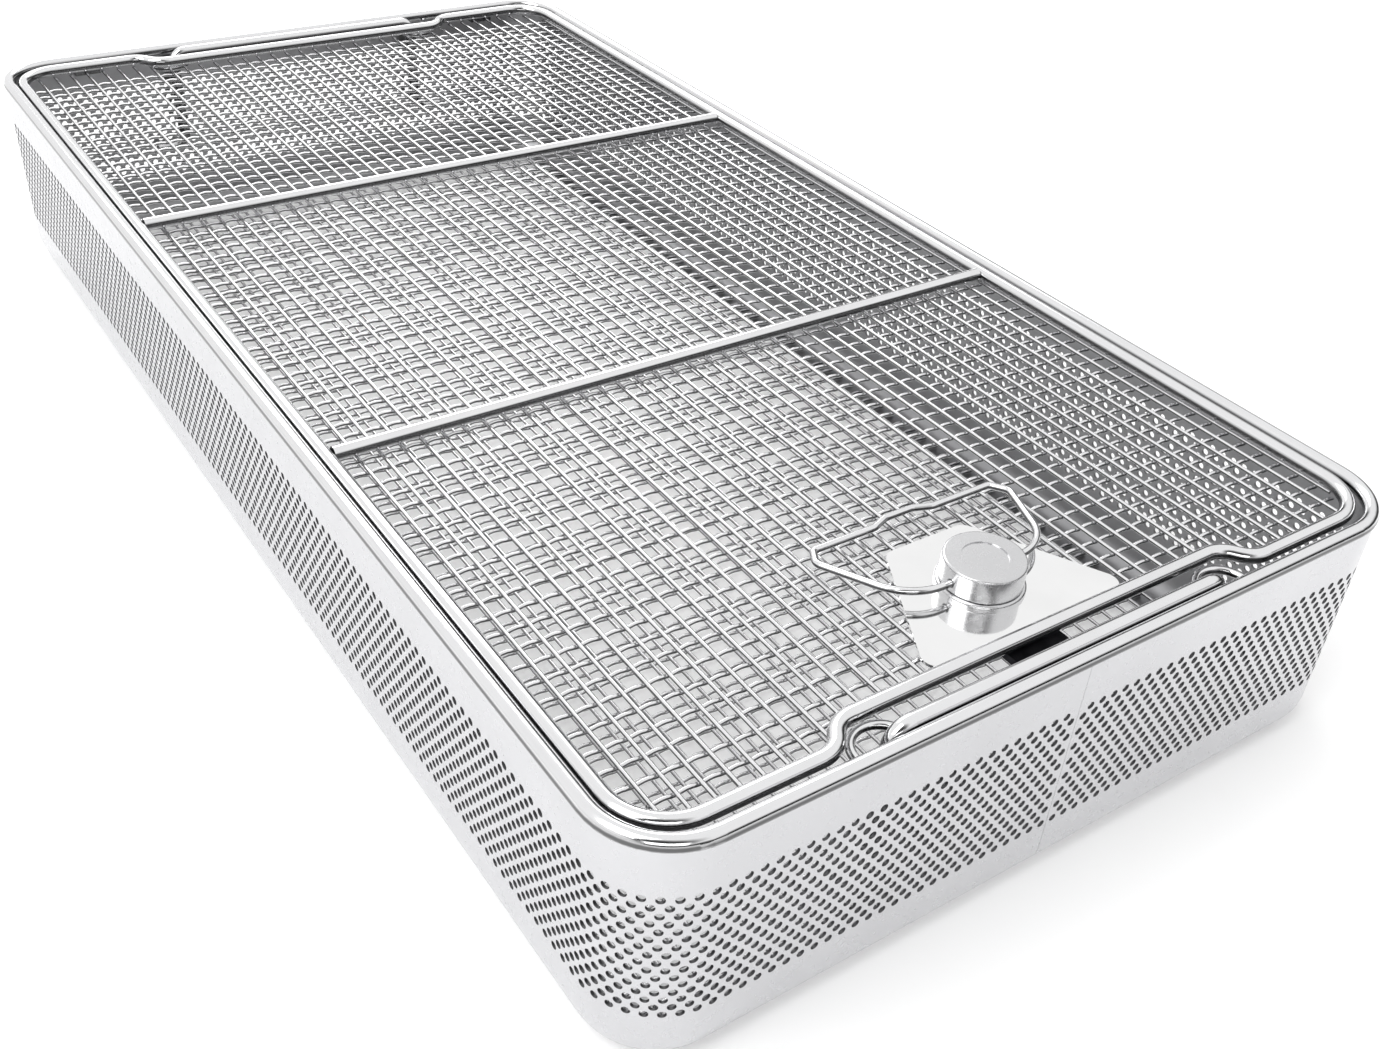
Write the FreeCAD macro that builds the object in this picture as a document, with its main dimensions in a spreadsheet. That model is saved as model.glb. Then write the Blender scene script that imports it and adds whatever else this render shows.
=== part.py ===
import FreeCAD, Part
import math
import os

import Sketcher

# Perforated sterilising tray with a wire-mesh lid, modelled piece by piece.
# Frame: X across the short side, Y along the long side, Z up, origin at the middle of the
# underside.  The latch is on the lid at the -Y end.  Millimetres throughout.

doc = FreeCAD.newDocument("instrument_tray")
V = FreeCAD.Vector

# ---------------------------------------------------------------- driving dimensions
DRIVING = [
    # shell
    ("tray_width", 250.0),
    ("tray_length", 488.0),
    ("rim_height", 75.0),
    ("rim_corner", 22.0),
    ("bead_diameter", 4.4),
    ("bead_proud", 0.5),
    ("sheet", 0.8),
    ("foot_radius", 9.0),
    ("foot_flange", 6.0),
    # wire mesh, as thick as two crossing wires
    ("mesh_wire", 1.25),
    ("floor_mesh_margin", 0.5),
    # lid frame
    ("lid_wire", 4.2),
    ("lid_drop", 0.6),
    ("lid_side_gap", 0.5),
    ("lid_end_gap", 2.0),
    ("recess_depth", 7.6),
    ("recess_half_inner", 59.0),
    ("recess_half_outer", 73.0),
    ("lid_mesh_margin", 0.5),
    ("bar_spacing", 158.0),
    # drop handles
    ("handle_wire", 4.6),
    ("handle_leg_half", 54.5),
    ("handle_rim_gap", 0.5),
    ("handle_bend", 5.2),
    ("handle_travel", 32.0),
    ("handle_foot", 7.0),
    # wire staples that carry the lid and guide the handles
    ("staple_wire", 2.4),
    ("seat_gap", 0.3),
    ("eye_width", 14.5),
    ("eye_inset", 5.0),
    ("eye_reach", 13.0),
    ("rest_width", 16.0),
    ("rest_reach", 4.6),
    ("rest_bend", 2.6),
    # rear hooks of the lid
    ("hook_half_spacing", 90.0),
    ("hook_width", 10.0),
    ("hook_sheet", 1.5),
    ("hook_tip_gap", 0.7),
    # latch
    ("plate_sheet", 0.8),
    ("plate_front_half", 34.5),
    ("plate_back_half", 13.2),
    ("plate_depth", 40.6),
    ("plate_corner", 4.0),
    ("plate_front_gap", 0.3),
    ("knob_setback", 29.5),
    ("knob_diameter", 21.3),
    ("knob_height", 6.6),
    ("knob_gap", 0.2),
    ("knob_recess_diameter", 12.0),
    ("knob_recess_depth", 0.3),
    ("knob_edge", 0.6),
    ("ring_diameter", 23.0),
    ("ring_thickness", 1.4),
    ("spindle_diameter", 6.0),
    ("spindle_grip", 4.6),
    ("turning_clearance", 0.3),
    ("crank_radius", 7.0),
    ("crank_half_angle", 30.0),
    ("crank_pin", 2.4),
    ("crank_disc_sheet", 0.8),
    ("bolt_width", 17.5),
    ("bolt_sheet", 2.0),
    ("bolt_gap", 0.3),
    ("bolt_handle_gap", 0.4),
    ("bolt_tail", 9.0),
    ("bolt_lead", 0.8),
    ("guide_wall", 3.0),
    ("guide_sheet", 1.0),
    ("guide_front", 18.0),
    ("guide_back", 12.5),
    # folding wire bail of the knob
    ("bail_wire", 2.0),
    ("bail_height", 2.3),
    ("bail_hole", 2.4),
    ("bail_grip", 3.8),
    ("bail_neck", 22.5),
    ("bail_tip_half", 33.0),
    ("bail_tip_back", 24.5),
    ("bail_back", 29.5),
    ("bail_hump", 2.2),
    ("bail_hump_half", 4.5),
    ("bail_hump_foot", 10.0),
    ("bail_bend", 3.0),
    ("bail_neck_bend", 15.0),
    ("bail_fall", 4.5),
]

sizes = doc.addObject("Spreadsheet::Sheet", "sizes")
for row, (alias, number) in enumerate(DRIVING, start=1):
    sizes.set("A%d" % row, alias)
    sizes.set("B%d" % row, str(number))
    sizes.setAlias("B%d" % row, alias)
doc.recompute()

# ---------------------------------------------------------------- places worked out from them
DERIVED = [
    ("bead_z", "sizes.rim_height - sizes.bead_diameter / 2"),
    ("bead_half_x", "(sizes.tray_width - sizes.bead_diameter) / 2"),
    ("bead_half_y", "(sizes.tray_length - sizes.bead_diameter) / 2"),
    ("bead_corner", "sizes.rim_corner - sizes.bead_diameter / 2"),
    ("wall_x", "sizes.tray_width - 2 * sizes.bead_proud"),
    ("wall_y", "sizes.tray_length - 2 * sizes.bead_proud"),
    ("wall_corner", "sizes.rim_corner - sizes.bead_proud"),
    ("wall_inner_y", "derived.wall_y / 2 - sizes.sheet"),
    ("wall_inner_x", "derived.wall_x / 2 - sizes.sheet"),
    ("foot_inset", "sizes.foot_radius + sizes.foot_flange"),
    ("mesh_sheet", "2 * sizes.mesh_wire"),
    ("lid_z", "derived.bead_z - sizes.lid_drop"),
    ("lid_half_x", "sizes.tray_width / 2 - sizes.bead_diameter - sizes.lid_side_gap - sizes.lid_wire / 2"),
    ("lid_half_y", "sizes.tray_length / 2 - sizes.bead_diameter - sizes.lid_end_gap - sizes.lid_wire / 2"),
    ("lid_corner", "sizes.rim_corner - sizes.bead_diameter - sizes.lid_side_gap - sizes.lid_wire / 2"),
    ("lid_under", "derived.lid_z - sizes.lid_wire / 2"),
    ("lid_mesh_z", "derived.lid_under - derived.mesh_sheet"),
    ("handle_y", "sizes.tray_length / 2 - sizes.bead_diameter - sizes.handle_rim_gap - sizes.handle_wire / 2"),
    ("grip_z", "derived.lid_under + sizes.handle_wire / 2"),
    ("staple_z", "derived.lid_under - sizes.seat_gap - sizes.staple_wire / 2"),
    ("foot_z", "derived.staple_z - (sizes.staple_wire + sizes.handle_wire) / 2 - sizes.seat_gap"
               " - sizes.handle_travel"),
    ("plate_front_y", "sizes.lid_wire / 2 + sizes.plate_front_gap - derived.lid_half_y + sizes.recess_depth"),
    ("plate_top", "derived.lid_under + sizes.plate_sheet"),
    ("knob_y", "sizes.knob_setback - derived.lid_half_y"),
    ("ring_top", "derived.plate_top + sizes.ring_thickness"),
    ("knob_z", "derived.ring_top + sizes.knob_gap"),
    ("bail_z", "derived.knob_z + sizes.bail_height"),
    ("disc_z", "derived.lid_mesh_z - 0.1 - sizes.crank_disc_sheet"),
    ("disc_radius", "sizes.crank_radius + sizes.crank_pin / 2 + 0.5"),
    ("bolt_top", "derived.lid_mesh_z - sizes.crank_disc_sheet - sizes.bolt_gap"),
    ("bolt_z", "derived.bolt_top - sizes.bolt_sheet"),
    ("bolt_tip_y", "sizes.handle_wire / 2 + sizes.bolt_handle_gap - derived.handle_y"),
    ("crank_rise", "sizes.crank_radius * sin(sizes.crank_half_angle)"),
    ("crank_side", "sizes.crank_radius * cos(sizes.crank_half_angle)"),
    ("guide_z", "derived.bolt_z - sizes.bolt_gap - sizes.guide_sheet"),
]

derived = doc.addObject("Spreadsheet::Sheet", "derived")
for row, (alias, formula) in enumerate(DERIVED, start=1):
    derived.set("A%d" % row, alias)
    derived.set("B%d" % row, "=" + formula.replace("derived.", ""))
    derived.setAlias("B%d" % row, alias)
    doc.recompute()


def size(alias):
    """The number behind an alias of either sheet."""
    sheet = sizes if sizes.getCellFromAlias(alias) else derived
    return float(sheet.get(alias))


# ---------------------------------------------------------------- helpers
nodes = []


def node(part, label):
    part.Label = label
    nodes.append(part)
    return part


def new_body(name):
    return doc.addObject("PartDesign::Body", name)


def plane(body, role):
    return next(item for item in body.Origin.OriginFeatures if item.Role == role)


def new_sketch(body, name, height=None):
    """Sketch on the body's XY plane, lifted to a height when one is given."""
    sketch = body.newObject("Sketcher::SketchObject", name)
    sketch.AttachmentSupport = [(plane(body, "XY_Plane"), "")]
    sketch.MapMode = "FlatFace"
    if height:
        sketch.setExpression("AttachmentOffset.Base.z", height)
    return sketch


def draw_rectangle(sketch, width, length):
    """Rectangle about the sketch origin, its two sides bound to expressions."""
    half = 10.0
    corners = [V(-half, -half, 0), V(half, -half, 0), V(half, half, 0), V(-half, half, 0)]
    for index in range(4):
        sketch.addGeometry(Part.LineSegment(corners[index], corners[(index + 1) % 4]), False)
    for index in range(4):
        sketch.addConstraint(Sketcher.Constraint("Coincident", index, 2, (index + 1) % 4, 1))
    for index in (0, 2):
        sketch.addConstraint(Sketcher.Constraint("Horizontal", index))
    for index in (1, 3):
        sketch.addConstraint(Sketcher.Constraint("Vertical", index))
    sketch.addConstraint(Sketcher.Constraint("Symmetric", 0, 1, 2, 1, -1, 1))
    wide = sketch.addConstraint(Sketcher.Constraint("DistanceX", 0, 1, 0, 2, 2 * half))
    tall = sketch.addConstraint(Sketcher.Constraint("DistanceY", 1, 1, 1, 2, 2 * half))
    sketch.setExpression("Constraints[%d]" % wide, width)
    sketch.setExpression("Constraints[%d]" % tall, length)


def draw_circle(sketch, radius, x=None, y=None):
    """Circle bound to expressions; x and y are left out where they are zero."""
    sketch.addGeometry(Part.Circle(V(1, 1, 0), V(0, 0, 1), 5.0), False)
    bound = sketch.addConstraint(Sketcher.Constraint("Radius", 0, 5.0))
    sketch.setExpression("Constraints[%d]" % bound, radius)
    for kind, place, on_axis in (("DistanceX", x, -2), ("DistanceY", y, -1)):
        if place:
            bound = sketch.addConstraint(Sketcher.Constraint(kind, -1, 1, 0, 3, 1.0))
            sketch.setExpression("Constraints[%d]" % bound, place)
        else:
            sketch.addConstraint(Sketcher.Constraint("PointOnObject", 0, 3, on_axis))


def pad(body, sketch, length):
    feature = body.newObject("PartDesign::Pad", sketch.Name + "_pad")
    feature.Profile = sketch
    feature.setExpression("Length", length)
    sketch.Visibility = False
    doc.recompute()
    return feature


def cut_through(body, sketch):
    """Pocket through everything, both ways from the sketch."""
    before = body.Shape.Volume
    feature = body.newObject("PartDesign::Pocket", sketch.Name + "_pocket")
    feature.Profile = sketch
    feature.Type = 1
    feature.Midplane = True
    doc.recompute()
    if body.Shape.Volume >= before:
        raise RuntimeError("%s cuts nothing" % feature.Name)
    return feature


def edge_names(shape, wanted):
    return ["Edge%d" % index for index, edge in enumerate(shape.Edges, start=1) if wanted(edge)]


def is_upright(edge):
    box = edge.BoundBox
    return box.XLength < 1e-6 and box.YLength < 1e-6 and box.ZLength > 1e-6


def fillet(body, base, edges, radius):
    feature = body.newObject("PartDesign::Fillet", base.Name + "_fillet")
    feature.Base = (base, edges)
    feature.setExpression("Radius", radius)
    doc.recompute()
    return feature


def lift(part, x=None, y=None, z=None):
    """Bind a part's place to expressions."""
    for axis, place in (("x", x), ("y", y), ("z", z)):
        if place:
            part.setExpression("Placement.Base." + axis, place)
    doc.recompute()


def rounded_route(corners, closed):
    """Lines and tangent arcs through corners given as (x, y, bend radius)."""
    count = len(corners)
    starts = []
    arcs = []
    for index, (x, y, radius) in enumerate(corners):
        here = V(x, y, 0)
        at_end = not closed and index in (0, count - 1)
        if at_end or radius == 0:
            starts.append((here, here))
            arcs.append(None)
            continue
        before = V(*corners[index - 1][:2], 0) - here
        after = V(*corners[(index + 1) % count][:2], 0) - here
        before.normalize()
        after.normalize()
        half = before.getAngle(after) / 2
        reach = radius / math.tan(half)
        entry = here + before * reach
        leave = here + after * reach
        middle = before + after
        middle.normalize()
        crown = here + middle * (radius / math.sin(half) - radius)
        starts.append((entry, leave))
        arcs.append(Part.Arc(entry, crown, leave))
    pieces = []
    for index in range(count):
        if arcs[index]:
            pieces.append(arcs[index])
        if index < count - 1 or closed:
            begin = starts[index][1]
            end = starts[(index + 1) % count][0]
            if (end - begin).Length > 1e-6:
                pieces.append(Part.LineSegment(begin, end))
    return pieces


def bent_wire(label, route, diameter, placement):
    """Round wire swept along a planar route; the route starts on a straight run."""
    path = doc.addObject("Sketcher::SketchObject", label + "_route")
    path.addGeometry(route, False)
    path.Placement = placement
    doc.recompute()
    first = route[0]
    begin = first.value(first.FirstParameter)
    heading = first.value(first.LastParameter) - begin
    ring = doc.addObject("Part::Circle", label + "_section")
    ring.setExpression("Radius", diameter + " / 2")
    facing = FreeCAD.Placement(begin, FreeCAD.Rotation(V(0, 0, 1), heading))
    ring.Placement = placement.multiply(facing)
    wire = doc.addObject("Part::Sweep", label)
    wire.Sections = [ring]
    wire.Spine = (path, ["Edge%d" % (index + 1) for index in range(len(route))])
    wire.Solid = True
    wire.Frenet = False
    doc.recompute()
    return node(wire, label)


def flat(z):
    return FreeCAD.Placement(V(0, 0, z), FreeCAD.Rotation())


def cylinder(name, radius, height, z, x=None, y=None):
    part = doc.addObject("Part::Cylinder", name)
    part.setExpression("Radius", radius)
    part.setExpression("Height", height)
    lift(part, x, y, z)
    return part


def block(name, width, length, height, x, y, z):
    """Box with its lowest corner at x, y, z."""
    part = doc.addObject("Part::Box", name)
    part.setExpression("Length", width)
    part.setExpression("Width", length)
    part.setExpression("Height", height)
    lift(part, x, y, z)
    return part


def cut(name, base, tool):
    part = doc.addObject("Part::Cut", name)
    part.Base = base
    part.Tool = tool
    doc.recompute()
    return part


# ---------------------------------------------------------------- shell
def make_wall_band():
    """One strip bent to a rounded box, its lower edge rolled in to a flange."""
    body = new_body("wall_band")
    outline = new_sketch(body, "wall_outline")
    draw_rectangle(outline, "derived.wall_x", "derived.wall_y")
    block_pad = pad(body, outline, "derived.bead_z")
    rounded = fillet(body, block_pad, edge_names(block_pad.Shape, is_upright), "derived.wall_corner")
    under = edge_names(rounded.Shape, lambda edge: edge.BoundBox.ZMax < 1e-6)
    footed = fillet(body, rounded, under, "sizes.foot_radius")
    top = max(range(len(footed.Shape.Faces)), key=lambda index: footed.Shape.Faces[index].CenterOfMass.z)
    shell = body.newObject("PartDesign::Thickness", "wall_shell")
    shell.Base = (footed, ["Face%d" % (top + 1)])
    shell.Reversed = True
    shell.setExpression("Value", "sizes.sheet")
    doc.recompute()
    window = new_sketch(body, "floor_window")
    draw_rectangle(window, "derived.wall_x - 2 * derived.foot_inset",
                   "derived.wall_y - 2 * derived.foot_inset")
    opened = cut_through(body, window)
    inner = size("wall_x") / 2 - size("foot_inset")
    corners = edge_names(opened.Shape, lambda edge: is_upright(edge)
                         and abs(abs(edge.CenterOfMass.x) - inner) < 1e-3
                         and edge.BoundBox.ZMax < size("sheet") + 1e-3)
    fillet(body, opened, corners, "derived.wall_corner - derived.foot_inset")
    return node(body, "wall_band")


def rectangle_route(half_x, half_y, corner):
    """Closed rounded rectangle that starts on its +X side."""
    return rounded_route([(half_x, 0, 0), (half_x, half_y, corner), (-half_x, half_y, corner),
                          (-half_x, -half_y, corner), (half_x, -half_y, corner)], True)


def make_rim_bead(wall):
    """Round rim bead, grooved where the top edge of the wall runs into it."""
    route = rectangle_route(size("bead_half_x"), size("bead_half_y"), size("bead_corner"))
    solid = bent_wire("rim_bead_bar", route, "sizes.bead_diameter", flat(size("bead_z")))
    nodes.remove(solid)
    return node(cut("rim_bead", solid, wall), "rim_bead")


def make_floor_mesh():
    """Envelope of the wire-mesh floor, lying on the flange inside the foot bend."""
    body = new_body("floor_mesh")
    outline = new_sketch(body, "floor_outline", "sizes.sheet")
    margin = "2 * (sizes.foot_radius + sizes.floor_mesh_margin)"
    draw_rectangle(outline, "derived.wall_x - " + margin, "derived.wall_y - " + margin)
    sheet = pad(body, outline, "derived.mesh_sheet")
    fillet(body, sheet, edge_names(sheet.Shape, is_upright),
           "derived.wall_corner - sizes.foot_radius - sizes.floor_mesh_margin")
    return node(body, "floor_mesh")


# ---------------------------------------------------------------- staples on the wall
def make_eye(end, side):
    """U of wire welded to an end wall; a handle leg passes down through it."""
    inner_x = size("handle_leg_half") - size("eye_inset")
    outer_x = inner_x + size("eye_width")
    wall_y = size("wall_inner_y")
    bend = size("eye_width") / 2 - 0.01
    tip_y = wall_y - size("eye_reach")
    route = rounded_route([(side * inner_x, end * wall_y, 0), (side * inner_x, end * tip_y, bend),
                           (side * outer_x, end * tip_y, bend), (side * outer_x, end * wall_y, 0)], False)
    name = "%s_%s_eye" % ("front" if end < 0 else "rear", "left" if side < 0 else "right")
    return bent_wire(name, route, "sizes.staple_wire", flat(size("staple_z")))


def make_side_rest(side):
    """U of wire welded to a long wall; the lid frame sits on it."""
    half = size("rest_width") / 2
    wall_x = size("wall_inner_x")
    tip_x = wall_x - size("rest_reach")
    bend = size("rest_bend")
    route = rounded_route([(side * wall_x, -half, 0), (side * tip_x, -half, bend),
                           (side * tip_x, half, bend), (side * wall_x, half, 0)], False)
    name = "left_side_rest" if side < 0 else "right_side_rest"
    return bent_wire(name, route, "sizes.staple_wire", flat(size("staple_z")))


# ---------------------------------------------------------------- drop handles
def make_handle(end):
    """Grip bar with two legs and outward feet that stop under the eyes."""
    leg = size("handle_leg_half")
    bend = size("handle_bend")
    foot = leg + bend + size("handle_foot")
    grip_z = size("grip_z")
    foot_z = size("foot_z")
    route = rounded_route([(-foot, foot_z, 0), (-leg, foot_z, bend), (-leg, grip_z, bend),
                           (leg, grip_z, bend), (leg, foot_z, bend), (foot, foot_z, 0)], False)
    upright = FreeCAD.Placement(V(0, end * size("handle_y"), 0), FreeCAD.Rotation(V(1, 0, 0), 90))
    name = "front_handle" if end < 0 else "rear_handle"
    return bent_wire(name, route, "sizes.handle_wire", upright)


# ---------------------------------------------------------------- lid
def lid_route(inset):
    """Rounded rectangle whose two ends step inward past the handles."""
    half_x = size("lid_half_x") - inset
    half_y = size("lid_half_y") - inset
    corner = size("lid_corner") - inset
    inner = size("recess_half_inner")
    outer = size("recess_half_outer")
    deep = size("recess_depth")
    slope = 2 * math.atan(deep / (outer - inner))
    bend = (outer - inner) / (2 * math.sin(slope))
    reach = bend * math.tan(slope / 2)
    start = outer - reach
    stop = inner + reach
    tight = bend - inset
    loose = bend + inset
    shift = inset * math.tan(slope / 2)
    corners = [(half_x, 0, 0), (half_x, half_y, corner)]
    for end in (1, -1):
        step = [(start, half_y, loose), (stop, half_y - deep, tight)]
        step = [(x + shift, y, radius) for x, y, radius in step]
        back = [(-x, y, radius) for x, y, radius in reversed(step)]
        ends = step + back
        if end < 0:
            ends = [(-x, -y, radius) for x, y, radius in ends]
            corners.append((-half_x, -half_y, corner))
        corners.extend(ends)
        if end > 0:
            corners.append((-half_x, half_y, corner))
    corners.append((half_x, -half_y, corner))
    return rounded_route(corners, True)


def make_lid_mesh():
    """Envelope of the lid's wire mesh, welded under the frame, with the spindle hole."""
    body = new_body("lid_mesh")
    outline = new_sketch(body, "lid_mesh_outline", "derived.lid_mesh_z")
    outline.addGeometry(lid_route(size("lid_mesh_margin")), False)
    pad(body, outline, "derived.mesh_sheet")
    hole = new_sketch(body, "lid_mesh_hole", "derived.lid_mesh_z")
    draw_circle(hole, "sizes.spindle_diameter / 2 + sizes.turning_clearance", None, "derived.knob_y")
    cut_through(body, hole)
    return node(body, "lid_mesh")


def make_cross_bar(end):
    """Round bar across the lid from side wire to side wire."""
    name = "front_cross_bar" if end < 0 else "rear_cross_bar"
    bar = doc.addObject("Part::Cylinder", name)
    bar.setExpression("Radius", "sizes.lid_wire / 2")
    bar.setExpression("Height", "2 * derived.lid_half_x - sizes.lid_wire")
    bar.Placement.Rotation = FreeCAD.Rotation(V(0, 1, 0), 90)
    lift(bar, "sizes.lid_wire / 2 - derived.lid_half_x", "%d * sizes.bar_spacing / 2" % end, "derived.lid_z")
    return node(bar, name)


def make_rear_hook(side):
    """Flat tongue under the rear wire that reaches below the rim bead."""
    name = "left_rear_hook" if side < 0 else "right_rear_hook"
    return node(block(name, "sizes.hook_width",
                      "derived.wall_inner_y - sizes.hook_tip_gap - derived.lid_half_y", "sizes.hook_sheet",
                      "%d * sizes.hook_half_spacing - sizes.hook_width / 2" % side, "derived.lid_half_y",
                      "derived.lid_under - sizes.hook_sheet"), name)


# ---------------------------------------------------------------- latch
def make_latch_plate():
    """Tapered plate with rounded corners and a hole for the spindle."""
    front = size("plate_front_y")
    back = front + size("plate_depth")
    wide = size("plate_front_half")
    narrow = size("plate_back_half")
    corner = size("plate_corner")
    outline_points = [(0, front, 0), (wide, front, corner), (narrow, back, corner),
                      (-narrow, back, corner), (-wide, front, corner)]
    body = new_body("latch_plate")
    outline = new_sketch(body, "plate_outline", "derived.lid_under")
    outline.addGeometry(rounded_route(outline_points, True), False)
    pad(body, outline, "sizes.plate_sheet")
    hole = new_sketch(body, "plate_hole", "derived.lid_under")
    draw_circle(hole, "sizes.spindle_diameter / 2 + sizes.turning_clearance", None, "derived.knob_y")
    cut_through(body, hole)
    return node(body, "latch_plate")


def make_knob_ring():
    """Seat ring under the knob."""
    disc = cylinder("knob_ring_disc", "sizes.ring_diameter / 2", "sizes.ring_thickness", "derived.plate_top",
                    None, "derived.knob_y")
    bore = cylinder("knob_ring_bore", "sizes.spindle_diameter / 2 + sizes.turning_clearance",
                    "sizes.ring_thickness", "derived.plate_top", None, "derived.knob_y")
    ring = cut("knob_ring_blank", disc, bore)
    rim = edge_names(ring.Shape, lambda edge: edge.BoundBox.ZMin > size("ring_top") - 1e-6
                     and edge.BoundBox.XLength > size("ring_diameter") - 1e-3)
    soft = doc.addObject("Part::Fillet", "knob_ring")
    soft.Base = ring
    radius = size("ring_thickness") / 2
    soft.Edges = [(int(name[4:]), radius, radius) for name in rim]
    doc.recompute()
    return node(soft, "knob_ring")


def make_knob():
    """Round knob, dished on top, bored for the spindle and the two ends of the bail."""
    blank = cylinder("knob_blank", "sizes.knob_diameter / 2", "sizes.knob_height", "derived.knob_z",
                     None, "derived.knob_y")
    rim = edge_names(blank.Shape, lambda edge: edge.BoundBox.ZMin > size("knob_z") + size("knob_height") - 1e-6)
    soft = doc.addObject("Part::Fillet", "knob_edge")
    soft.Base = blank
    soft.Edges = [(int(name[4:]), size("knob_edge"), size("knob_edge")) for name in rim]
    doc.recompute()
    dish = cylinder("knob_dish", "sizes.knob_recess_diameter / 2", "sizes.knob_recess_depth",
                    "derived.knob_z + sizes.knob_height - sizes.knob_recess_depth", None, "derived.knob_y")
    bore = cylinder("knob_bore", "sizes.spindle_diameter / 2", "sizes.spindle_grip", "derived.knob_z",
                    None, "derived.knob_y")
    part = cut("knob_bored", cut("knob_dished", soft, dish), bore)
    for side, name in ((1, "knob_right_hole"), (-1, "knob_left_hole")):
        hole = doc.addObject("Part::Cylinder", name)
        hole.setExpression("Radius", "sizes.bail_hole / 2")
        hole.setExpression("Height", "sizes.bail_grip + sizes.turning_clearance + 1")
        hole.Placement.Rotation = FreeCAD.Rotation(V(0, 1, 0), 90 * side)
        lift(hole, "%d * (sizes.knob_diameter / 2 - sizes.bail_grip - sizes.turning_clearance)" % side,
             "derived.knob_y", "derived.bail_z")
        part = cut(name + "_cut", part, hole)
    return node(part, "knob")


def make_spindle():
    """Pin from the knob down to the crank disc."""
    top = "(derived.knob_z + sizes.spindle_grip)"
    foot = "(derived.disc_z + sizes.crank_disc_sheet)"
    return node(cylinder("spindle", "sizes.spindle_diameter / 2", top + " - " + foot, foot,
                         None, "derived.knob_y"), "spindle")


def make_crank_disc():
    """Disc on the foot of the spindle with one off-centre pin."""
    disc = cylinder("crank_plate", "derived.disc_radius", "sizes.crank_disc_sheet", "derived.disc_z",
                    None, "derived.knob_y")
    pin = cylinder("crank_pin_post", "sizes.crank_pin / 2", "derived.disc_z - derived.bolt_z",
                   "derived.bolt_z", "derived.crank_side", "derived.knob_y + derived.crank_rise")
    part = doc.addObject("Part::Fuse", "crank_disc")
    part.Base = disc
    part.Tool = pin
    doc.recompute()
    return node(part, "crank_disc")


def make_bolt():
    """Flat bolt with a side notch for the crank pin and a thinned leading edge."""
    length = "(derived.knob_y + sizes.bolt_tail - derived.bolt_tip_y)"
    bar = block("bolt_bar", "sizes.bolt_width", length, "sizes.bolt_sheet",
                "-sizes.bolt_width / 2", "derived.bolt_tip_y", "derived.bolt_z")
    slack = "(sizes.crank_pin / 2 + sizes.bolt_gap)"
    notch = block("bolt_notch", "sizes.bolt_width / 2 - derived.crank_side + " + slack, "2 * " + slack,
                  "sizes.bolt_sheet", "derived.crank_side - " + slack,
                  "derived.knob_y + derived.crank_rise - " + slack, "derived.bolt_z")
    notched = cut("bolt_notched", bar, notch)
    tip = size("bolt_tip_y")
    top = size("bolt_top")
    lead = edge_names(notched.Shape, lambda edge: edge.BoundBox.YMax < tip + 1e-6
                      and edge.BoundBox.ZMin > top - 1e-6)
    soft = doc.addObject("Part::Chamfer", "bolt")
    soft.Base = notched
    soft.Edges = [(int(name[4:]), size("bolt_lead"), size("bolt_lead")) for name in lead]
    doc.recompute()
    return node(soft, "bolt")


def make_bolt_guide():
    """Channel under the lid mesh that the bolt runs in."""
    tunnel = "(sizes.bolt_width + 2 * sizes.bolt_gap)"
    wide = "(%s + 2 * sizes.guide_wall)" % tunnel
    length = "(sizes.guide_front + sizes.guide_back)"
    front = "derived.knob_y - sizes.guide_front"
    case = block("guide_case", wide, length, "derived.lid_mesh_z - derived.guide_z",
                 "-%s / 2" % wide, front, "derived.guide_z")
    run = block("guide_run", tunnel, length, "derived.lid_mesh_z - sizes.crank_disc_sheet"
                " - derived.guide_z - sizes.guide_sheet",
                "-%s / 2" % tunnel, front, "derived.guide_z + sizes.guide_sheet")
    hole = cylinder("guide_hole", "derived.disc_radius + sizes.turning_clearance",
                    "sizes.crank_disc_sheet", "derived.lid_mesh_z - sizes.crank_disc_sheet",
                    None, "derived.knob_y")
    return node(cut("bolt_guide", cut("guide_channel", case, run), hole), "bolt_guide")


def make_bail():
    """Folding wire wing; its two ends turn in the sides of the knob."""
    end = size("knob_diameter") / 2 - size("bail_grip")
    neck = size("bail_neck")
    tip = size("bail_tip_half")
    tip_y = size("bail_tip_back")
    back = size("bail_back")
    foot = size("bail_hump_foot")
    crest = size("bail_hump_half")
    bend = size("bail_bend")
    half = [(end, 0, 0), (neck, 0, size("bail_neck_bend")), (tip, tip_y, bend), (tip - bend, back, bend / 2),
            (foot, back, bend), (crest, back + size("bail_hump"), bend)]
    mirrored = [(-x, y, radius) for x, y, radius in reversed(half)]
    route = rounded_route(half + mirrored, False)
    fall = FreeCAD.Rotation(V(1, 0, 0), -size("bail_fall"))
    place = FreeCAD.Placement(V(0, size("knob_y"), size("bail_z")), fall)
    return bent_wire("bail", route, "sizes.bail_wire", place)


# ---------------------------------------------------------------- build
wall_band = make_wall_band()
make_rim_bead(wall_band)
make_floor_mesh()
for which_end in (-1, 1):
    for which_side in (-1, 1):
        make_eye(which_end, which_side)
for which_side in (-1, 1):
    make_side_rest(which_side)
for which_end in (-1, 1):
    make_handle(which_end)
bent_wire("lid_frame", lid_route(0.0), "sizes.lid_wire", flat(size("lid_z")))
make_lid_mesh()
for which_end in (-1, 1):
    make_cross_bar(which_end)
for which_side in (-1, 1):
    make_rear_hook(which_side)
make_latch_plate()
make_knob_ring()
make_bolt_guide()
make_knob()
make_spindle()
make_crank_disc()
make_bolt()
make_bail()
doc.recompute()

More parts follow.
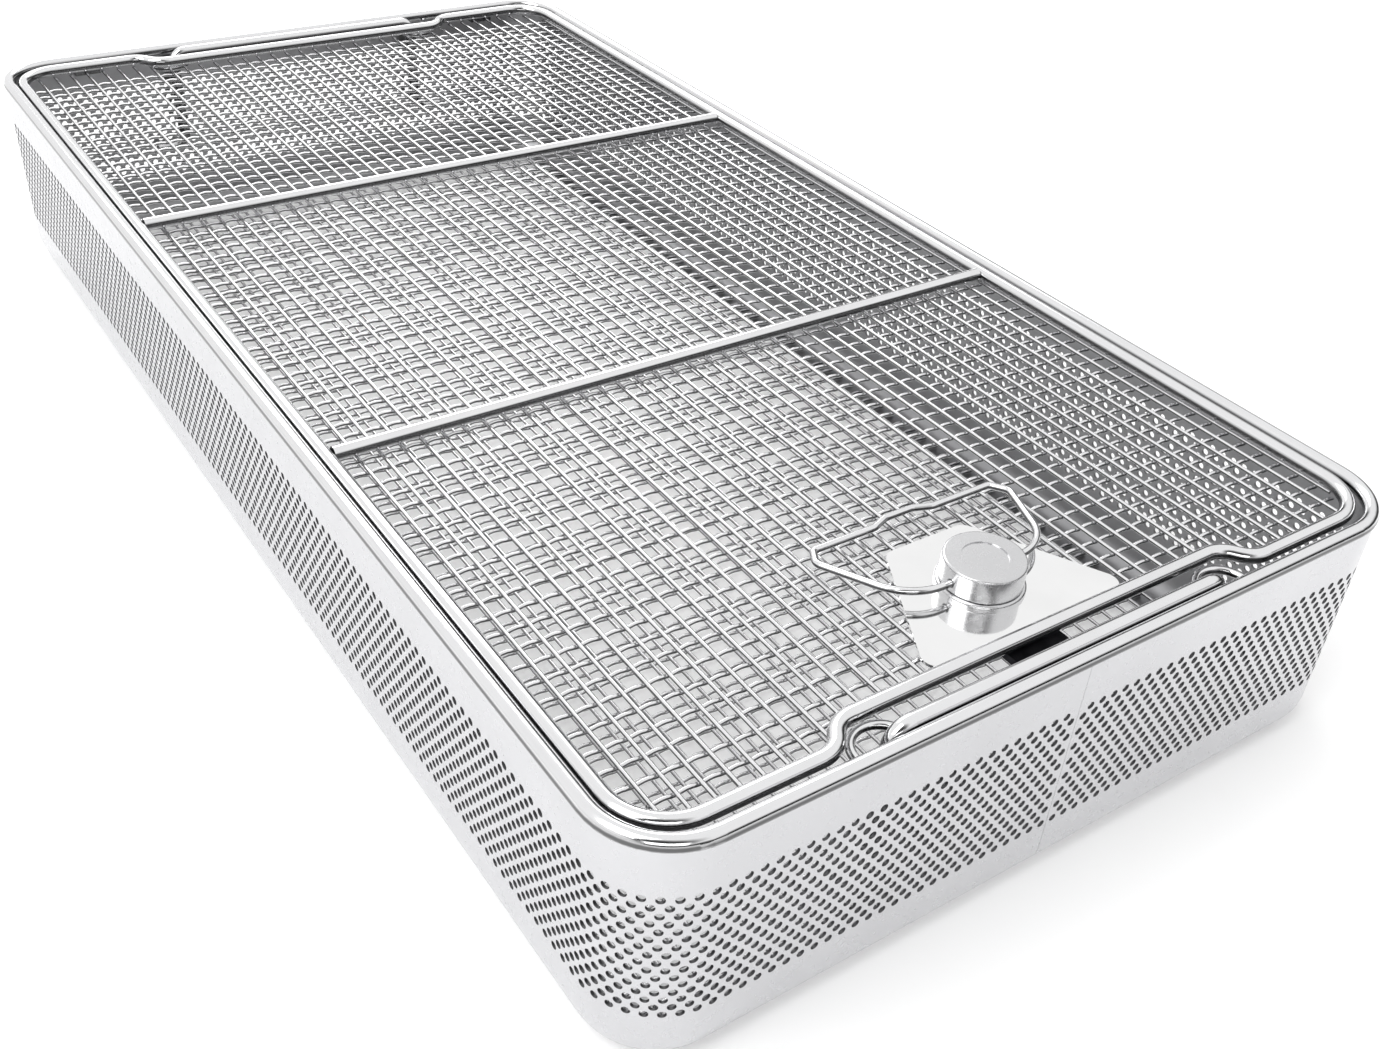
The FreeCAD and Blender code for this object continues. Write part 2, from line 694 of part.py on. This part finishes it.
# ---------------------------------------------------------------- check and write
for item in doc.Objects:
    if "Invalid" in item.State or "Error" in item.State:
        raise RuntimeError("%s is %s" % (item.Name, item.State))
for part in nodes:
    if part.Shape.isNull() or not part.Shape.isValid() or not part.Shape.Solids:
        raise RuntimeError("%s has no valid solid" % part.Label)

os.makedirs("parts", exist_ok=True)
for part in nodes:
    part.Shape.exportStep("parts/%s.step" % part.Label)
    print("%-18s solids %d volume %10.1f" % (part.Label, len(part.Shape.Solids), part.Shape.Volume))
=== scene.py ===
"""Look of the instrument tray: perforated wall, wire mesh and polished steel round the CAD frame."""

import math

import bpy
import numpy as np
from mathutils import Matrix, Vector


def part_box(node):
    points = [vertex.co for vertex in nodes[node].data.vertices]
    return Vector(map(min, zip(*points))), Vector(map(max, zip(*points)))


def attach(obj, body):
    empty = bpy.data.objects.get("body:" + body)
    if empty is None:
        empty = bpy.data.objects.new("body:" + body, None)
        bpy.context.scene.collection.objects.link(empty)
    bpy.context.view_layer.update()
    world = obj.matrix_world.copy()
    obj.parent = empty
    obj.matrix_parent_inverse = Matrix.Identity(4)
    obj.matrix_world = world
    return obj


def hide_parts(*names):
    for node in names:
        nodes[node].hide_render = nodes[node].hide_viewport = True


MM = 0.001
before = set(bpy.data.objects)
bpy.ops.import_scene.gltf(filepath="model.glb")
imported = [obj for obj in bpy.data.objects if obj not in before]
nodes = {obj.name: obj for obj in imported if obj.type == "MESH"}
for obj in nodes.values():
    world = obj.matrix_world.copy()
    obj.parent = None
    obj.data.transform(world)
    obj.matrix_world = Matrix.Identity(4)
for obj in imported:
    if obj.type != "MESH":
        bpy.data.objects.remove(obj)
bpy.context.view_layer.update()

# ---------------------------------------------------------------- sizes, in millimetres
WALL_X, WALL_Y = 124.5, 243.5          # outer faces of the wall
WALL_CORNER = 21.5
SHEET = 0.8
WALL_TOP = 72.8
FOOT_RADIUS = 9.0
FOOT_FLANGE = 6.0
HOLE_ROWS = 16
HOLES_ROUND = 356
HOLE_RADIUS = 1.1
ROW_PITCH = 2.53
TOP_ROW_Z = 57.3
SEAM_X = 0.8                           # butt seam of the band, on the front wall
SEAM_GAP = 0.08
MESH_PITCH = 6.3
MESH_WIRE = 1.15
MESH_CRIMP = 0.45                      # how far a cross wire rises between two long wires
MESH_DRIFT = 0.06                      # unevenness of the wire spacing
MESH_SINK = 0.93                       # depth of a cross wire under a long one, in wire diameters
FLOOR_FIRST = (0.9, -1.2)              # first long wire's X and first cross wire's Y
LID_FIRST = (-2.5, 1.5)
FLOOR_SEED, LID_SEED = 11, 12
LID_CORNER = 14.0
STEP_IN, STEP_OUT, STEP_DEPTH = 59.0, 73.0, 7.6     # the lid's end steps past each handle
PIECE_SHARP, WALL_SHARP, WIRE_SHARP = 35, 35, 60    # degrees, edges sharper than this stay crisp


# ---------------------------------------------------------------- mesh building
def new_object(name, points, faces, material, smooth_angle):
    """Mesh object from millimetre points; edges sharper than the angle stay crisp."""
    data = bpy.data.meshes.new(name)
    data.from_pydata((np.asarray(points) * MM).tolist(), [], faces)
    data.validate()
    data.shade_smooth()
    data.set_sharp_from_angle(angle=math.radians(smooth_angle))
    data.materials.append(material)
    made = bpy.data.objects.new(name, data)
    bpy.context.scene.collection.objects.link(made)
    return made


def wall_point(run, inset):
    """Point on the wall's plan outline: run is the length along it from the seam, in mm."""
    flat_x = 2 * (WALL_X - WALL_CORNER)
    flat_y = 2 * (WALL_Y - WALL_CORNER)
    arc = math.pi / 2 * WALL_CORNER
    total = 2 * flat_x + 2 * flat_y + 4 * arc
    place = (run + flat_x / 2 + SEAM_X) % total
    direction = 0.0
    corner = Vector((-WALL_X + WALL_CORNER, -WALL_Y))
    for flat in (flat_x, flat_y, flat_x, flat_y):
        along = Vector((math.cos(direction), math.sin(direction)))
        inward = Vector((-along.y, along.x))
        if place <= flat:
            return corner + along * place + inward * inset
        place -= flat
        centre = corner + along * flat + inward * WALL_CORNER
        if place <= arc:
            turn = direction + place / WALL_CORNER
            return centre + Vector((math.sin(turn), -math.cos(turn))) * (WALL_CORNER - inset)
        place -= arc
        direction += math.pi / 2
        corner = centre + along * WALL_CORNER
    return corner


def perforated_wall(material, inner_shaded_material, bore_shaded_material):
    """The band: staggered round holes, plain margins, rolled foot and a butt seam at the front.

    The outer skin, the inner skin and the hole edges have a steel each: the inner skin and the hole edges
    carry darker copies of the sheet steel, painted shade."""
    flat = 4 * (WALL_X + WALL_Y - 2 * WALL_CORNER)
    total = flat + 2 * math.pi * WALL_CORNER
    stations = 2 * HOLES_ROUND
    step = (total - SEAM_GAP) / stations
    low = TOP_ROW_Z - (HOLE_ROWS - 0.5) * ROW_PITCH

    outer_foot = []
    for index in range(7):
        angle = math.pi / 2 * index / 6
        outer_foot.append((FOOT_RADIUS * (1 - math.cos(angle)), FOOT_RADIUS * (1 - math.sin(angle))))
    inner_radius = FOOT_RADIUS - SHEET
    inner_foot = []
    for index in range(7):
        angle = math.pi / 2 * index / 6
        inner_foot.append((FOOT_RADIUS - inner_radius * math.cos(angle),
                           FOOT_RADIUS - inner_radius * math.sin(angle)))
    lip = FOOT_RADIUS + FOOT_FLANGE

    points = []
    faces = []

    def add(run, inset, z):
        spot = wall_point(run, inset)
        points.append((spot.x, spot.y, z))
        return len(points) - 1

    def ring(inset, z):
        return [add(SEAM_GAP / 2 + step * index, inset, z) for index in range(stations + 1)]

    def skin(rings, flip):
        for below, above in zip(rings, rings[1:]):
            for index in range(stations):
                face = [below[index], below[index + 1], above[index + 1], above[index]]
                faces.append(face[::-1] if flip else face)

    sides = {}
    inner_start = 0
    for name, inset, flip in (("outer", 0.0, False), ("inner", SHEET, True)):
        inner_start = len(faces)
        levels = [ring(inset, low + row * ROW_PITCH) for row in range(HOLE_ROWS + 1)]
        holes = {}
        for row in range(HOLE_ROWS):
            shift = row % 2
            centre_z = low + (row + 0.5) * ROW_PITCH
            ends = {}
            for station in range(shift, stations + 1, 2):
                ends[station] = add(SEAM_GAP / 2 + step * station, inset, centre_z)
            for start in range(shift, stations - 1, 2):
                loop = [levels[row][start], levels[row][start + 1], levels[row][start + 2], ends[start + 2],
                        levels[row + 1][start + 2], levels[row + 1][start + 1], levels[row + 1][start],
                        ends[start]]
                run = SEAM_GAP / 2 + step * (start + 1)
                rim = []
                for index in range(16):
                    angle = math.radians(225 + 22.5 * index)
                    rim.append(add(run + HOLE_RADIUS * math.cos(angle), inset,
                                   centre_z + HOLE_RADIUS * math.sin(angle)))
                holes[(row, start)] = rim
                for index in range(8):
                    after = (index + 1) % 8
                    first = rim[2 * index]
                    middle = rim[2 * index + 1]
                    last = rim[(2 * index + 2) % 16]
                    web = [[loop[index], middle, first], [loop[index], loop[after], last, middle]]
                    faces.extend([face[::-1] if flip else face for face in web])
            if shift:
                for start, end in ((0, 1), (stations - 1, stations)):
                    face = [levels[row][start], levels[row][end],
                            levels[row + 1][end], levels[row + 1][start]]
                    faces.append(face[::-1] if flip else face)
        foot = outer_foot if name == "outer" else inner_foot
        floor_z = 0.0 if name == "outer" else SHEET
        below = [ring(lip, floor_z), ring((lip + FOOT_RADIUS) / 2, floor_z)]
        below += [ring(place, z) for place, z in reversed(foot)]
        below += [ring(inset, (low + FOOT_RADIUS) / 2), levels[0]]
        above = [levels[-1]] + [ring(inset, z) for z in (62.0, 66.0, 70.0, WALL_TOP)]
        skin(below, flip)
        skin(above, flip)
        sides[name] = (below, levels, above, holes)

    out_below, out_levels, out_above, out_holes = sides["outer"]
    in_below, in_levels, in_above, in_holes = sides["inner"]
    bore_start = len(faces)
    for key, rim in out_holes.items():
        other = in_holes[key]
        for index in range(16):
            after = (index + 1) % 16
            faces.append([rim[index], rim[after], other[after], other[index]])
    inner_end = len(faces)
    for index in range(stations):
        faces.append([out_above[-1][index], out_above[-1][index + 1], in_above[-1][index + 1],
                      in_above[-1][index]])
        faces.append([out_below[0][index + 1], out_below[0][index], in_below[0][index],
                      in_below[0][index + 1]])
    for end in (0, -1):
        outer_edge = [line[end] for line in out_below[:-1] + out_levels + out_above[1:]]
        inner_edge = [line[end] for line in in_below[:-1] + in_levels + in_above[1:]]
        for index in range(len(outer_edge) - 1):
            face = [outer_edge[index], outer_edge[index + 1], inner_edge[index + 1], inner_edge[index]]
            faces.append(face if end else face[::-1])
    band = new_object("perforated_wall", points, faces, material, WALL_SHARP)
    band.data.materials.append(inner_shaded_material)
    band.data.materials.append(bore_shaded_material)
    for index in range(inner_start, inner_end):
        band.data.polygons[index].material_index = 2 if index >= bore_start else 1
    return band


def mesh_wire(points, faces, start, end, rise, sides=8):
    """Round wire between two plan points; rise gives its centre height at a distance along it."""
    begin = np.array((start[0], start[1], 0.0))
    along = np.array((end[0], end[1], 0.0)) - begin
    length = np.linalg.norm(along)
    along = along / length
    side = np.array((-along[1], along[0], 0.0))
    steps = max(4, int(round(length / MESH_PITCH * 6)))
    for step in range(steps + 1):
        centre = begin + along * (length * step / steps)
        height = rise(centre)
        for turn in range(sides):
            angle = 2 * math.pi * turn / sides
            spot = centre + side * (MESH_WIRE / 2 * math.cos(angle))
            points.append((spot[0], spot[1], height + MESH_WIRE / 2 * math.sin(angle)))
    base = len(points) - (steps + 1) * sides
    for step in range(steps):
        here = base + step * sides
        for turn in range(sides):
            after = (turn + 1) % sides
            faces.append([here + turn, here + after, here + sides + after, here + sides + turn])
    last = base + steps * sides
    faces.append([base + turn for turn in range(sides)])
    faces.append([last + turn for turn in reversed(range(sides))])


def steps_within(half):
    """Whole pitches that can lie between -half and half, with one to spare at each end."""
    most = int(half // MESH_PITCH) + 1
    return range(-most, most + 1)


def wire_mesh(name, reach_y, reach_x, half_x, half_y, top, first, seed, material):
    """Crimped mesh: straight long wires on top, cross wires that dip under each of them.

    first is the X of the first long wire and the Y of the first cross wire, from the middle."""
    first_x, first_y = first
    chance = np.random.default_rng(seed)
    points = []
    faces = []
    long_z = top - MESH_WIRE / 2
    cross_z = long_z - MESH_WIRE * MESH_SINK

    def straight(spot):
        return long_z

    def crimped(spot):
        phase = 2 * math.pi * (spot[0] - first_x) / MESH_PITCH
        return cross_z + MESH_CRIMP / 2 * (1 - math.cos(phase))

    for step in steps_within(half_x):
        place = first_x + step * MESH_PITCH
        if abs(place) < half_x:
            drift = chance.normal(0.0, MESH_DRIFT)
            reach = reach_y(abs(place))
            mesh_wire(points, faces, (place + drift, -reach), (place - drift, reach), straight)
    for step in steps_within(half_y):
        place = first_y + step * MESH_PITCH
        if abs(place) < half_y:
            drift = chance.normal(0.0, MESH_DRIFT)
            reach = reach_x(abs(place))
            mesh_wire(points, faces, (-reach, place + drift), (reach, place - drift), crimped)
    return new_object(name, points, faces, material, WIRE_SHARP)


def rounded_reach(half, other_half, corner):
    """Reach of a rounded rectangle at a place along its other side."""
    def reach(place):
        over = place - (other_half - corner)
        if over <= 0:
            return half
        return half - corner + math.sqrt(max(corner * corner - over * over, 0.0))
    return reach


# ---------------------------------------------------------------- materials
def steel(name, colour, roughness, grain, bump, stretch=(1.0, 1.0, 1.0), flank=1.0):
    """Stainless steel with faint drawing marks and slightly uneven gloss.

    flank scales the colour where the surface stands upright. Under 1 it darkens the sides of
    round wire with a painted dark reflection, in place of dark surroundings that this bright studio doesn't
    hold."""
    material = bpy.data.materials.new(name)
    material.use_nodes = True
    tree = material.node_tree
    shader = tree.nodes["Principled BSDF"]
    shader.inputs["Metallic"].default_value = 1.0
    place = tree.nodes.new("ShaderNodeTexCoord")
    scale = tree.nodes.new("ShaderNodeMapping")
    scale.inputs["Scale"].default_value = stretch
    tree.links.new(place.outputs["Object"], scale.inputs["Vector"])
    marks = tree.nodes.new("ShaderNodeTexNoise")
    marks.inputs["Scale"].default_value = grain
    marks.inputs["Detail"].default_value = 6.0
    tree.links.new(scale.outputs["Vector"], marks.inputs["Vector"])
    gloss = tree.nodes.new("ShaderNodeMapRange")
    gloss.inputs["To Min"].default_value = roughness * 0.7
    gloss.inputs["To Max"].default_value = roughness * 1.35
    tree.links.new(marks.outputs["Fac"], gloss.inputs["Value"])
    tree.links.new(gloss.outputs["Result"], shader.inputs["Roughness"])
    cloud = tree.nodes.new("ShaderNodeTexNoise")
    cloud.inputs["Scale"].default_value = grain * 0.12
    cloud.inputs["Detail"].default_value = 3.0
    tree.links.new(place.outputs["Object"], cloud.inputs["Vector"])
    tone = tree.nodes.new("ShaderNodeMix")
    tone.data_type = "RGBA"
    tone.inputs["A"].default_value = (*[part * 0.9 for part in colour], 1.0)
    tone.inputs["B"].default_value = (*colour, 1.0)
    tree.links.new(cloud.outputs["Fac"], tone.inputs["Factor"])
    # painted dark reflection: the colour is scaled down by flank where the surface stands upright
    facing = tree.nodes.new("ShaderNodeSeparateXYZ")
    tree.links.new(place.outputs["Normal"], facing.inputs["Vector"])
    level = tree.nodes.new("ShaderNodeMath")
    level.operation = "ABSOLUTE"
    tree.links.new(facing.outputs["Z"], level.inputs[0])
    flank_shade = tree.nodes.new("ShaderNodeMapRange")
    flank_shade.interpolation_type = "SMOOTHSTEP"
    flank_shade.inputs["From Min"].default_value = 0.15
    flank_shade.inputs["From Max"].default_value = 0.62
    flank_shade.inputs["To Min"].default_value = flank
    tree.links.new(level.outputs["Value"], flank_shade.inputs["Value"])
    blend = tree.nodes.new("ShaderNodeVectorMath")
    blend.operation = "SCALE"
    tree.links.new(tone.outputs["Result"], blend.inputs["Vector"])
    tree.links.new(flank_shade.outputs["Result"], blend.inputs["Scale"])
    tree.links.new(blend.outputs["Vector"], shader.inputs["Base Color"])
    relief = tree.nodes.new("ShaderNodeBump")
    relief.inputs["Strength"].default_value = bump
    relief.inputs["Distance"].default_value = 0.0002
    tree.links.new(marks.outputs["Fac"], relief.inputs["Height"])
    tree.links.new(relief.outputs["Normal"], shader.inputs["Normal"])
    return material


sheet_steel = steel("sheet_steel", (0.67, 0.67, 0.685), 0.25, 420.0, 0.006)
# darker copies of the sheet steel: painted shade on the inner skin and in the hole edges
inner_shaded_steel = steel("inner_shaded_steel", (0.43, 0.43, 0.44), 0.34, 420.0, 0.006)
bore_shaded_steel = steel("bore_shaded_steel", (0.17, 0.17, 0.175), 0.42, 420.0, 0.006)
knob_steel = steel("knob_steel", (0.70, 0.70, 0.71), 0.25, 700.0, 0.02)
# flank under 1: painted dark reflection on the upright sides of the wires
wire_steel = steel("wire_steel", (0.88, 0.88, 0.89), 0.13, 500.0, 0.02, flank=0.16)
mesh_steel = steel("mesh_steel", (0.88, 0.88, 0.89), 0.20, 900.0, 0.02, flank=0.12)
plate_steel = steel("plate_steel", (0.97, 0.97, 0.97), 0.07, 600.0, 0.01)
mirror_steel = steel("mirror_steel", (0.90, 0.90, 0.91), 0.06, 600.0, 0.015, (1.0, 6.0, 1.0))
dark_steel = steel("dark_steel", (0.03, 0.03, 0.035), 0.38, 400.0, 0.08)

FINISH = {
    "latch_plate": plate_steel, "knob_ring": knob_steel, "knob": knob_steel, "spindle": knob_steel,
    "crank_disc": mirror_steel, "bolt_guide": sheet_steel, "bolt": dark_steel, "wall_band": sheet_steel,
    "floor_mesh": mesh_steel, "lid_mesh": mesh_steel,
}
for name, shape in nodes.items():
    shape.data.materials.clear()
    shape.data.materials.append(FINISH.get(name, wire_steel))

# ---------------------------------------------------------------- pieces that replace plain CAD solids
wall = perforated_wall(sheet_steel, inner_shaded_steel, bore_shaded_steel)
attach(wall, "basket")
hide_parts("wall_band")

floor_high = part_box("floor_mesh")[1]
floor_x = floor_high.x / MM
floor_y = floor_high.y / MM
floor_corner = WALL_CORNER - FOOT_RADIUS - 0.5
floor_wires = wire_mesh("floor_wires", rounded_reach(floor_y, floor_x, floor_corner),
                        rounded_reach(floor_x, floor_y, floor_corner), floor_x, floor_y,
                        floor_high.z / MM, FLOOR_FIRST, FLOOR_SEED, mesh_steel)
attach(floor_wires, "basket")
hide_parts("floor_mesh")

lid_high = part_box("lid_mesh")[1]
lid_x = lid_high.x / MM
lid_y = lid_high.y / MM


def lid_reach_y(place):
    """Half length of the lid at an X place, with the step past the handles."""
    full = rounded_reach(lid_y, lid_x, LID_CORNER)(place)
    share = min(max((place - STEP_IN) / (STEP_OUT - STEP_IN), 0.0), 1.0)
    eased = share * share * (3 - 2 * share)
    return full - STEP_DEPTH * (1 - eased)


def lid_reach_x(place):
    """Half width of the lid at a Y place."""
    return rounded_reach(lid_x, lid_y, LID_CORNER)(place)


lid_wires = wire_mesh("lid_wires", lid_reach_y, lid_reach_x, lid_x, lid_y - STEP_DEPTH,
                      lid_high.z / MM, LID_FIRST, LID_SEED, mesh_steel)
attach(lid_wires, "lid")
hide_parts("lid_mesh")

# ---------------------------------------------------------------- smooth shading of the CAD pieces
for shape in nodes.values():
    shape.data.shade_smooth()
    shape.data.set_sharp_from_angle(angle=math.radians(PIECE_SHARP))

# ---------------------------------------------------------------- studio
FLOOR_HALF = 6.0                       # metres
FLOOR_SINK = 0.0002                    # keeps the paper just under the tray's foot
WORLD_BRIGHT, WORLD_DARK = 1.2, 0.04


def paper_floor():
    """Pale paper that catches the shadow, and glows a little so that it stays white."""
    half = FLOOR_HALF
    data = bpy.data.meshes.new("studio_floor")
    data.from_pydata([(-half, -half, 0), (half, -half, 0), (half, half, 0), (-half, half, 0)], [],
                     [(0, 1, 2, 3)])
    floor = bpy.data.objects.new("studio_floor", data)
    floor.location.z = -FLOOR_SINK
    bpy.context.scene.collection.objects.link(floor)
    paper = bpy.data.materials.new("studio_paper")
    paper.use_nodes = True
    shader = paper.node_tree.nodes["Principled BSDF"]
    shader.inputs["Base Color"].default_value = (0.86, 0.86, 0.86, 1.0)
    shader.inputs["Roughness"].default_value = 0.9
    shader.inputs["Specular IOR Level"].default_value = 0.1
    shader.inputs["Emission Color"].default_value = (1.0, 1.0, 1.0, 1.0)
    shader.inputs["Emission Strength"].default_value = 0.22
    data.materials.append(paper)
    return floor


studio_floor = paper_floor()

world = bpy.data.worlds.new("studio")
bpy.context.scene.world = world
world.use_nodes = True
sky = world.node_tree
sky.nodes.clear()
output = sky.nodes.new("ShaderNodeOutputWorld")
ambient = sky.nodes.new("ShaderNodeBackground")
backdrop = sky.nodes.new("ShaderNodeBackground")
backdrop.inputs["Color"].default_value = (1.0, 1.0, 1.0, 1.0)
backdrop.inputs["Strength"].default_value = 1.0
view_ray = sky.nodes.new("ShaderNodeLightPath")
blend = sky.nodes.new("ShaderNodeMixShader")
direction = sky.nodes.new("ShaderNodeTexCoord")
split = sky.nodes.new("ShaderNodeSeparateXYZ")
sky.links.new(direction.outputs["Generated"], split.inputs["Vector"])


def along(axis):
    """How far the world direction points along an axis."""
    part = sky.nodes.new("ShaderNodeVectorMath")
    part.operation = "DOT_PRODUCT"
    part.inputs[1].default_value = Vector(axis).normalized()
    sky.links.new(direction.outputs["Generated"], part.inputs[0])
    return part.outputs["Value"]


def step_between(value, low, high):
    """Smooth step from 0 at low to 1 at high."""
    step = sky.nodes.new("ShaderNodeMapRange")
    step.interpolation_type = "SMOOTHSTEP"
    step.inputs["From Min"].default_value = low
    step.inputs["From Max"].default_value = high
    sky.links.new(value, step.inputs["Value"])
    return step.outputs["Result"]


def multiply(first, second):
    """Product of two values of the world's nodes."""
    product = sky.nodes.new("ShaderNodeMath")
    product.operation = "MULTIPLY"
    sky.links.new(first, product.inputs[0])
    sky.links.new(second, product.inputs[1])
    return product.outputs["Value"]


def darker_of(first, second):
    """The stronger of two shades."""
    most = sky.nodes.new("ShaderNodeMath")
    most.operation = "MAXIMUM"
    sky.links.new(first, most.inputs[0])
    sky.links.new(second, most.inputs[1])
    return most.outputs["Value"]


# dark parts of the room, out of the picture: the right side, low at the front right, and high at
# the front left behind the camera
dark_side = multiply(step_between(along((0.985, -0.17, 0.0)), 0.30, 0.55),
                     step_between(split.outputs["Z"], 0.46, 0.22))
dark_rim = multiply(step_between(along((0.707, -0.707, 0.0)), -0.28, -0.08),
                    step_between(split.outputs["Z"], 0.32, 0.14))
dark_back = step_between(along((-0.48, -0.64, 0.60)), 0.74, 0.97)
shade = darker_of(darker_of(dark_side, dark_rim), dark_back)
glow = sky.nodes.new("ShaderNodeMapRange")
glow.inputs["To Min"].default_value = WORLD_BRIGHT
glow.inputs["To Max"].default_value = WORLD_DARK
sky.links.new(shade, glow.inputs["Value"])
sky.links.new(glow.outputs["Result"], ambient.inputs["Strength"])
sky.links.new(view_ray.outputs["Is Camera Ray"], blend.inputs["Fac"])
sky.links.new(ambient.outputs["Background"], blend.inputs[1])
sky.links.new(backdrop.outputs["Background"], blend.inputs[2])
sky.links.new(blend.outputs["Shader"], output.inputs["Surface"])


def softbox(name, place, target, width, height, power):
    """Rectangular lamp at a place, aimed at a target, in metres and watts."""
    light = bpy.data.lights.new(name, "AREA")
    light.shape = "RECTANGLE"
    light.size = width
    light.size_y = height
    light.energy = power
    lamp = bpy.data.objects.new(name, light)
    lamp.location = place
    aim = Vector(target) - Vector(place)
    lamp.rotation_euler = aim.to_track_quat("-Z", "Y").to_euler()
    bpy.context.scene.collection.objects.link(lamp)


softbox("key_softbox", (-1.1, -0.2, 1.5), (0, 0, 0), 1.0, 1.4, 15.0)
softbox("rear_softbox", (0.5, 1.6, 1.3), (0, 0, 0), 1.6, 0.8, 12.0)
softbox("front_softbox", (-0.9, -1.5, 0.8), (0, 0, 0), 1.2, 0.6, 6.0)

# ---------------------------------------------------------------- camera
CAMERA_PLACE = (-0.2284, -0.3951, 0.2907)      # metres
CAMERA_FORWARD = (0.4802, 0.6355, -0.6046)
CAMERA_ROLL = 4.65                             # degrees
CAMERA_LENS = 37.97                            # millimetres
CAMERA_SHIFT = (-0.0102, 0.0240)

camera_data = bpy.data.cameras.new("camera")
camera = bpy.data.objects.new("camera", camera_data)
bpy.context.scene.collection.objects.link(camera)
bpy.context.scene.camera = camera
camera_data.sensor_width = 36.0
camera_data.lens = CAMERA_LENS
camera_data.shift_x, camera_data.shift_y = CAMERA_SHIFT
camera_data.clip_start = 0.02
camera_data.clip_end = 30.0
forward = Vector(CAMERA_FORWARD).normalized()
level = forward.cross(Vector((0, 0, 1))).normalized()
roll = math.radians(CAMERA_ROLL)
right = Matrix.Rotation(-roll, 3, forward) @ level
up = right.cross(forward)
turn = Matrix((right, up, -forward)).transposed()
camera.matrix_world = Matrix.Translation(Vector(CAMERA_PLACE)) @ turn.to_4x4()

bpy.context.scene.view_settings.view_transform = "Standard"
